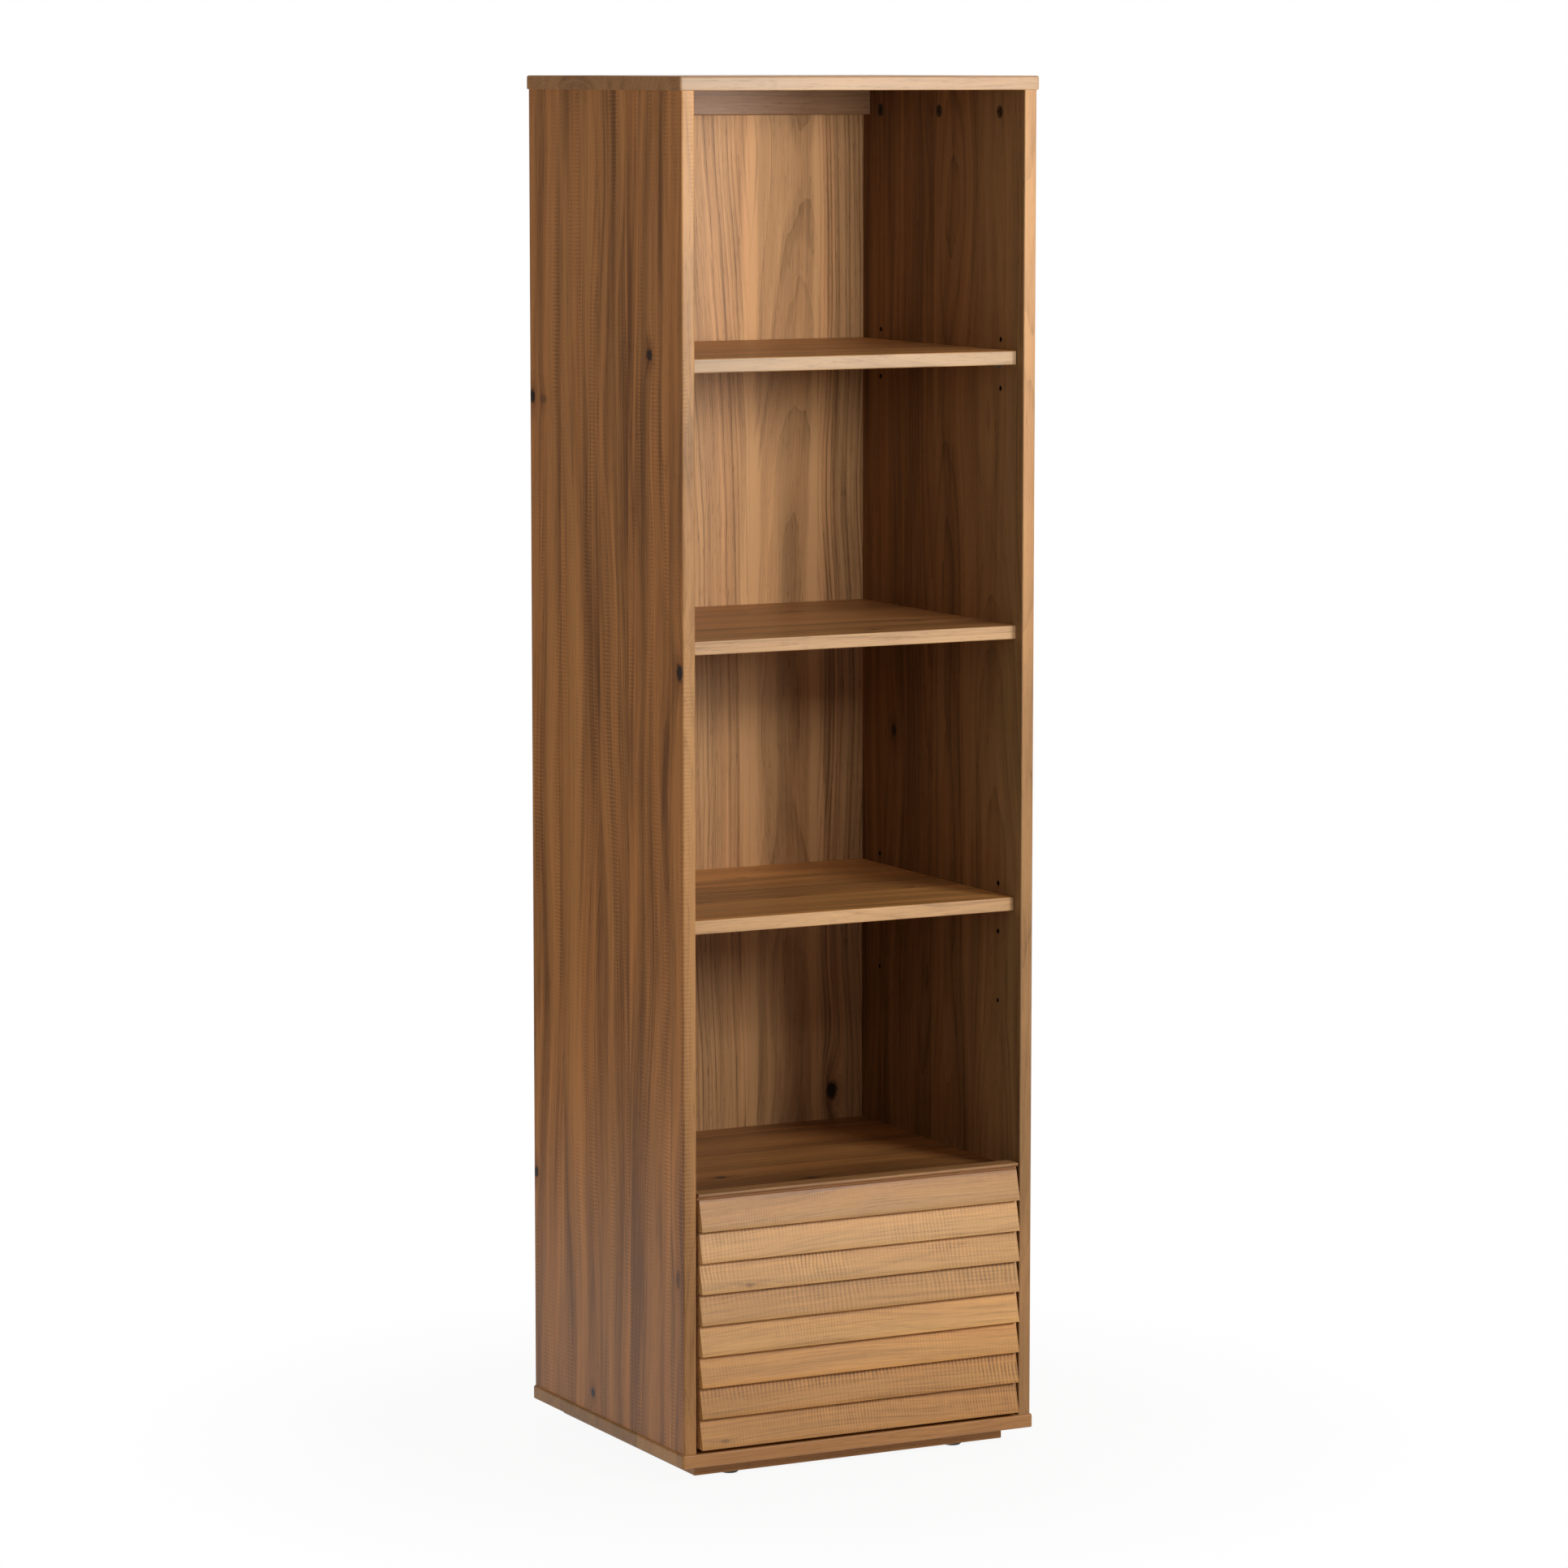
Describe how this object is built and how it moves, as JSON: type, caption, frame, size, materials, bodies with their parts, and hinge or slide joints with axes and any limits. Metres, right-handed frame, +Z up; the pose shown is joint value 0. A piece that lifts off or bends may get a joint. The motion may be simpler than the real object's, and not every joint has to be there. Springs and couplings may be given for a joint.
{
  "type": "bookcase with louvred drawer",
  "caption": "Tall narrow wooden bookcase with open shelves above a handle-less drawer whose front is stacked clapboard slats; drawer on telescopic runners, loose shelves on pins.",
  "frame": {"origin": "on the floor, under the middle of the bounding box", "axes": "+X to the right seen from the front, +Y to the rear, +Z up; the drawer opens along -Y"},
  "size_m": [0.459, 0.4102, 1.6],
  "materials": {
    "case_wood": "matte oiled acacia",
    "back_wood": "matte acacia veneer",
    "front_wood": "band-sawn acacia",
    "drawer_box_wood": "sealed",
    "dowel_wood": "raw",
    "zinc_steel": "zinc plated",
    "runner_steel": "zinc plated",
    "black_plastic": "moulded"
  },
  "bodies": {
    "case": {"top_panel": "case_wood", "bottom_panel": "case_wood", "side_panel_left": "case_wood", "side_panel_right": "case_wood", "top_rear_rail": "case_wood", "fixed_shelf": "case_wood", "drawer_divider": "case_wood", "plinth_front": "case_wood", "plinth_rear": "case_wood", "plinth_left": "case_wood", "plinth_right": "case_wood", "back_panel": "back_wood", "glides": "black_plastic", "upper_shelf_pins": "zinc_steel", "lower_shelf_pins": "zinc_steel", "runner_outer_left": "runner_steel", "runner_outer_right": "runner_steel", "top_cam_locks": "zinc_steel", "top_cam_bolts": "zinc_steel", "bottom_cam_locks": "zinc_steel", "bottom_cam_bolts": "zinc_steel", "fixed_shelf_cam_locks": "zinc_steel", "fixed_shelf_cam_bolts": "zinc_steel", "divider_cam_locks": "zinc_steel", "divider_cam_bolts": "zinc_steel", "back_panel_screws": "zinc_steel", "plinth_screws": "zinc_steel", "glide_nails": "zinc_steel", "runner_cabinet_screws": "zinc_steel", "top_dowels": "dowel_wood", "bottom_dowels": "dowel_wood", "fixed_shelf_dowels": "dowel_wood", "divider_dowels": "dowel_wood", "rail_dowels": "dowel_wood"},
    "drawer": {"drawer_front_board": "front_wood", "drawer_front_cap": "front_wood", "drawer_slat_1": "front_wood", "drawer_slat_2": "front_wood", "drawer_slat_3": "front_wood", "drawer_slat_4": "front_wood", "drawer_slat_5": "front_wood", "drawer_slat_6": "front_wood", "drawer_slat_7": "front_wood", "drawer_slat_8": "front_wood", "drawer_side_left": "drawer_box_wood", "drawer_side_right": "drawer_box_wood", "drawer_sub_front": "drawer_box_wood", "drawer_back": "drawer_box_wood", "drawer_bottom": "drawer_box_wood", "drawer_front_screws": "zinc_steel", "drawer_box_screws": "zinc_steel", "runner_drawer_screws": "zinc_steel", "runner_inner_left": "runner_steel", "runner_inner_right": "runner_steel"},
    "left_middle_runner": {"runner_middle_left": "runner_steel"},
    "right_middle_runner": {"runner_middle_right": "runner_steel"},
    "upper_loose_shelf": {"upper_shelf": "case_wood"},
    "lower_loose_shelf": {"lower_shelf": "case_wood"}
  },
  "joints": [
    {"name": "drawer_slide", "type": "slide", "parent": "case", "child": "drawer", "axis": [0, -1, 0], "range_m": [0, 0.33]},
    {"name": "left_runner_slide", "type": "slide", "parent": "case", "child": "left_middle_runner", "axis": [0, -1, 0], "range_m": [0, 0.165]},
    {"name": "right_runner_slide", "type": "slide", "parent": "case", "child": "right_middle_runner", "axis": [0, -1, 0], "range_m": [0, 0.165]},
    {"name": "upper_shelf_lift", "type": "slide", "parent": "case", "child": "upper_loose_shelf", "axis": [0, 0, 1], "range_m": [0, 0.0283]},
    {"name": "lower_shelf_lift", "type": "slide", "parent": "case", "child": "lower_loose_shelf", "axis": [0, 0, 1], "range_m": [0, 0.0283]}
  ],
  "couplings": [
    {"joint": "left_runner_slide", "follows": "drawer_slide", "ratio": 0.5},
    {"joint": "right_runner_slide", "follows": "drawer_slide", "ratio": 0.5}
  ]
}
